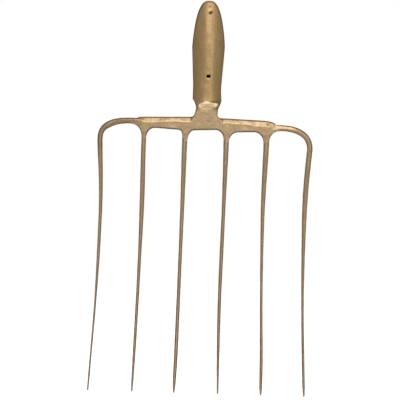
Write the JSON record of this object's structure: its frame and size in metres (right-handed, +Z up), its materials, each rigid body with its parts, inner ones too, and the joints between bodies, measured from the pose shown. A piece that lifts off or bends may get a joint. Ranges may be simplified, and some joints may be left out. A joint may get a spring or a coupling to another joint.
{
  "type": "bale fork head",
  "caption": "Steel fork head for lifting hay and straw: long curved tines under a crossbar, with a rolled socket for a wooden shaft.",
  "frame": {"origin": "middle of the flat seat at the bottom of the socket, where the end of the shaft stops", "axes": "+Z up along the socket and the shaft, -Y to the hollow side that carries the load, +X to the right as seen from that side"},
  "size_m": [0.2553, 0.065, 0.459],
  "materials": {
    "socket_paint": "satin metallic brown-gold paint",
    "neck_paint": "satin metallic brown-gold paint over a rough forging",
    "crossbar_paint": "satin metallic brown-gold paint over a rough forging",
    "tine_paint": "satin metallic brown-gold paint"
  },
  "bodies": {
    "root": {"socket": "socket_paint", "neck": "neck_paint", "crossbar": "crossbar_paint", "outer_tine_left": "tine_paint", "inner_tine_1": "tine_paint", "inner_tine_2": "tine_paint", "inner_tine_3": "tine_paint", "inner_tine_4": "tine_paint", "outer_tine_right": "tine_paint"}
  },
  "joints": []
}
